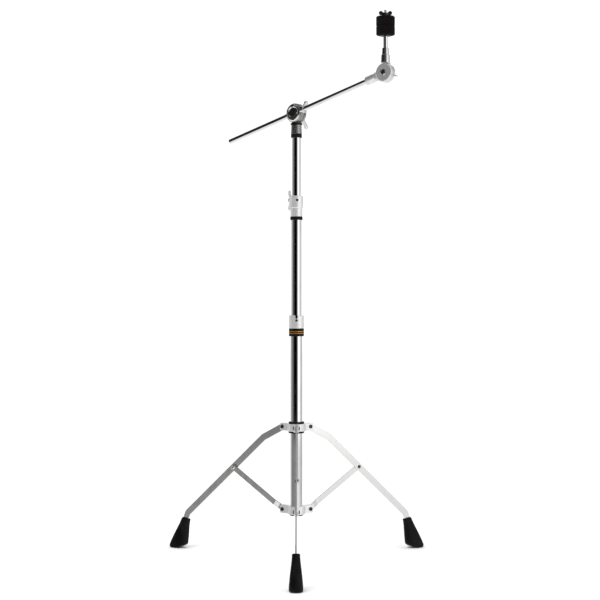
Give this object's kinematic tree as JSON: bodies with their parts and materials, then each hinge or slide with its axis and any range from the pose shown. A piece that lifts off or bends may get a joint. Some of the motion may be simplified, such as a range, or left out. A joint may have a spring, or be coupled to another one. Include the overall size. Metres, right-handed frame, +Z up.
{
  "type": "cymbal boom stand",
  "caption": "Folding tripod stand with sliding height tubes, a tilting boom rod and a felt-padded cymbal holder.",
  "frame": {"origin": "on the floor, under the middle of the whole stand's outer box", "axes": "+Z up along the tubes; -Y is the front, towards the single front leg; +X is the side of the cymbal holder"},
  "size_m": [0.5822, 0.507, 1.151],
  "materials": {
    "chrome_tube": "bright chrome plate on drawn tube, mirror smooth",
    "plated_bar": "chrome plate on flat steel bar, slightly rippled, rounded edges",
    "cast_metal": "satin plate over a die casting",
    "polished_cast": "bright plate over a die casting, soft edges",
    "black_nylon": "moulded black nylon, faint gloss",
    "dark_steel": "darkened steel fasteners",
    "black_rubber": "moulded black rubber, dull with a fine grain",
    "black_felt": "dense pressed black felt with short fuzz"
  },
  "bodies": {
    "base": {"base_tube": "chrome_tube", "tube_end_plug": "black_nylon", "stay_bracket": "cast_metal", "stop_screw": "dark_steel", "lower_band": "black_nylon", "lower_collar": "cast_metal", "lower_bush": "black_nylon", "lower_set_screw": "dark_steel", "stay_pin_front": "dark_steel", "stay_pin_right": "dark_steel", "stay_pin_left": "dark_steel"},
    "leg_slider": {"leg_bracket": "cast_metal", "leg_bracket_bush": "black_nylon", "leg_pin_front": "dark_steel", "leg_pin_right": "dark_steel", "leg_pin_left": "dark_steel"},
    "leg_slider_pad": {"leg_bracket_pad": "dark_steel"},
    "leg_slider_bolt": {"leg_bracket_wing_bolt": "cast_metal"},
    "lower_clamp_pad": {"lower_pad": "dark_steel"},
    "lower_clamp_bolt": {"lower_wing_bolt": "cast_metal"},
    "middle_carrier": {"middle_guide": "black_nylon"},
    "middle_section": {"middle_tube": "chrome_tube", "upper_collar_ring": "black_nylon", "upper_collar": "cast_metal", "upper_bush": "black_nylon", "upper_set_screw": "dark_steel"},
    "upper_clamp_pad": {"upper_pad": "dark_steel"},
    "upper_clamp_bolt": {"upper_wing_bolt": "cast_metal"},
    "upper_carrier": {"upper_guide": "black_nylon"},
    "upper_section": {"upper_tube": "chrome_tube", "neck_ring": "black_nylon", "tilter_base": "polished_cast", "friction_washer": "black_nylon"},
    "boom_clamp": {"tilter_rotor": "polished_cast", "eye_bolt": "dark_steel"},
    "boom_nut": {"boom_wing_nut": "cast_metal"},
    "boom_sleeve": {"clamp_sleeve": "polished_cast"},
    "boom": {"boom_rod": "chrome_tube", "boom_end": "polished_cast"},
    "cymbal_post": {"post_half": "polished_cast", "tilter_bolt": "dark_steel", "cymbal_rod": "chrome_tube", "felt_sleeve": "black_nylon"},
    "tilter_nut": {"end_wing_nut": "cast_metal"},
    "felt_below": {"lower_felt": "black_felt"},
    "felt_above": {"upper_felt": "black_felt"},
    "top_seat": {"top_washer": "dark_steel"},
    "top_nut": {"top_wing_nut": "dark_steel"},
    "leg_front": {"leg_front": "plated_bar", "foot_front": "black_rubber"},
    "stay_front": {"stay_front": "plated_bar", "stay_rivet_front": "dark_steel"},
    "leg_right": {"leg_right": "plated_bar", "foot_right": "black_rubber"},
    "stay_right": {"stay_right": "plated_bar", "stay_rivet_right": "dark_steel"},
    "leg_left": {"leg_left": "plated_bar", "foot_left": "black_rubber"},
    "stay_left": {"stay_left": "plated_bar", "stay_rivet_left": "dark_steel"}
  },
  "joints": [
    {"name": "leg_fold", "type": "slide", "parent": "base", "child": "leg_slider", "axis": [0, 0, 1], "range_m": [0, 0.1292]},
    {"name": "leg_front_hinge", "type": "hinge", "parent": "leg_slider", "child": "leg_front", "pos_m": [0, 0.04782, 0.28625], "axis": [1, 0, 0], "range_deg": [0, 46.43]},
    {"name": "stay_front_hinge", "type": "hinge", "parent": "base", "child": "stay_front", "pos_m": [0, 0.04782, 0.108], "axis": [-1, 0, 0], "range_deg": [0, 49.67]},
    {"name": "leg_right_hinge", "type": "hinge", "parent": "leg_slider", "child": "leg_right", "pos_m": [0.02815, 0.09657, 0.28625], "axis": [-0.5, 0.866, 0], "range_deg": [0, 46.43]},
    {"name": "stay_right_hinge", "type": "hinge", "parent": "base", "child": "stay_right", "pos_m": [0.02815, 0.09657, 0.108], "axis": [0.5, -0.866, 0], "range_deg": [0, 49.67]},
    {"name": "leg_left_hinge", "type": "hinge", "parent": "leg_slider", "child": "leg_left", "pos_m": [-0.02815, 0.09657, 0.28625], "axis": [-0.5, -0.866, 0], "range_deg": [0, 46.43]},
    {"name": "stay_left_hinge", "type": "hinge", "parent": "base", "child": "stay_left", "pos_m": [-0.02815, 0.09657, 0.108], "axis": [0.5, 0.866, 0], "range_deg": [0, 49.67]},
    {"name": "leg_clamp_pad_slide", "type": "slide", "parent": "leg_slider", "child": "leg_slider_pad", "axis": [0, 1, 0], "range_m": [0, 0.0026]},
    {"name": "leg_clamp_bolt_turn", "type": "hinge", "parent": "leg_slider_pad", "child": "leg_slider_bolt", "pos_m": [0, 0.10032, 0.28575], "axis": [0, 1, 0], "range_deg": [0, 720]},
    {"name": "lower_clamp_pad_slide", "type": "slide", "parent": "base", "child": "lower_clamp_pad", "axis": [0, 1, 0], "range_m": [0, 0.0026]},
    {"name": "lower_clamp_bolt_turn", "type": "hinge", "parent": "lower_clamp_pad", "child": "lower_clamp_bolt", "pos_m": [0, 0.10032, 0.5182], "axis": [0, 1, 0], "range_deg": [0, 720]},
    {"name": "middle_tube_slide", "type": "slide", "parent": "base", "child": "middle_carrier", "axis": [0, 0, 1], "range_m": [-0.18, 0.14]},
    {"name": "middle_tube_turn", "type": "hinge", "parent": "middle_carrier", "child": "middle_section", "pos_m": [0, 0.08032, 0.6], "axis": [0, 0, 1], "continuous": true},
    {"name": "upper_clamp_pad_slide", "type": "slide", "parent": "middle_section", "child": "upper_clamp_pad", "axis": [-0.4226, 0.9063, 0], "range_m": [0, 0.0026]},
    {"name": "upper_clamp_bolt_turn", "type": "hinge", "parent": "upper_clamp_pad", "child": "upper_clamp_bolt", "pos_m": [-0.00845, 0.09845, 0.7755], "axis": [-0.4226, 0.9063, 0], "range_deg": [0, 720]},
    {"name": "upper_tube_slide", "type": "slide", "parent": "middle_section", "child": "upper_carrier", "axis": [0, 0, 1], "range_m": [-0.12, 0.14]},
    {"name": "upper_tube_turn", "type": "hinge", "parent": "upper_carrier", "child": "upper_section", "pos_m": [0, 0.08032, 0.85], "axis": [0, 0, 1], "continuous": true},
    {"name": "boom_tilt", "type": "hinge", "parent": "upper_section", "child": "boom_clamp", "pos_m": [0, 0.08032, 0.9605], "axis": [-0.6157, -0.788, 0], "range_deg": [-55, 33]},
    {"name": "boom_nut_turn", "type": "hinge", "parent": "boom_clamp", "child": "boom_nut", "pos_m": [0, 0.08032, 0.9605], "axis": [0.6157, 0.788, 0], "range_deg": [0, 720]},
    {"name": "boom_roll", "type": "hinge", "parent": "boom_clamp", "child": "boom_sleeve", "pos_m": [-0.00406, 0.07512, 0.9605], "axis": [0.7622, -0.5955, 0.2538], "range_deg": [-180, 180]},
    {"name": "boom_slide", "type": "slide", "parent": "boom_sleeve", "child": "boom", "axis": [0.7622, -0.5955, 0.2538], "range_m": [-0.165, 0.165]},
    {"name": "cymbal_tilt", "type": "hinge", "parent": "boom", "child": "cymbal_post", "pos_m": [0.18207, -0.0703, 1.02247], "axis": [-0.6157, -0.788, 0], "range_deg": [-75, 54]},
    {"name": "tilter_nut_turn", "type": "hinge", "parent": "cymbal_post", "child": "tilter_nut", "pos_m": [0.18207, -0.0703, 1.02247], "axis": [0.6157, 0.788, 0], "range_deg": [0, 720]},
    {"name": "top_nut_turn", "type": "hinge", "parent": "top_seat", "child": "top_nut", "pos_m": [0.18207, -0.0703, 1.14047], "axis": [0, 0, 1], "range_deg": [0, 2880]},
    {"name": "top_seat_lift", "type": "slide", "parent": "cymbal_post", "child": "top_seat", "axis": [0, 0, 1], "range_m": [0, 0.0101]},
    {"name": "upper_felt_lift", "type": "slide", "parent": "cymbal_post", "child": "felt_above", "axis": [0, 0, 1], "range_m": [0, 0.0061]},
    {"name": "lower_felt_lift", "type": "slide", "parent": "cymbal_post", "child": "felt_below", "axis": [0, 0, 1], "range_m": [0, 0.0021]}
  ],
  "couplings": [
    {"joint": "leg_front_hinge", "follows": "leg_fold", "rad_per_m": 6.2303},
    {"joint": "stay_front_hinge", "follows": "leg_fold", "rad_per_m": 6.6669},
    {"joint": "leg_right_hinge", "follows": "leg_fold", "rad_per_m": 6.2303},
    {"joint": "stay_right_hinge", "follows": "leg_fold", "rad_per_m": 6.6669},
    {"joint": "leg_left_hinge", "follows": "leg_fold", "rad_per_m": 6.2303},
    {"joint": "stay_left_hinge", "follows": "leg_fold", "rad_per_m": 6.6669},
    {"joint": "leg_clamp_pad_slide", "follows": "leg_clamp_bolt_turn", "m_per_rad": 0.00019894},
    {"joint": "lower_clamp_pad_slide", "follows": "lower_clamp_bolt_turn", "m_per_rad": 0.00019894},
    {"joint": "upper_clamp_pad_slide", "follows": "upper_clamp_bolt_turn", "m_per_rad": 0.00019894},
    {"joint": "top_seat_lift", "follows": "top_nut_turn", "m_per_rad": 0.00019894},
    {"joint": "upper_felt_lift", "follows": "top_nut_turn", "m_per_rad": 0.00011937},
    {"joint": "lower_felt_lift", "follows": "top_nut_turn", "m_per_rad": 0.000039789}
  ]
}
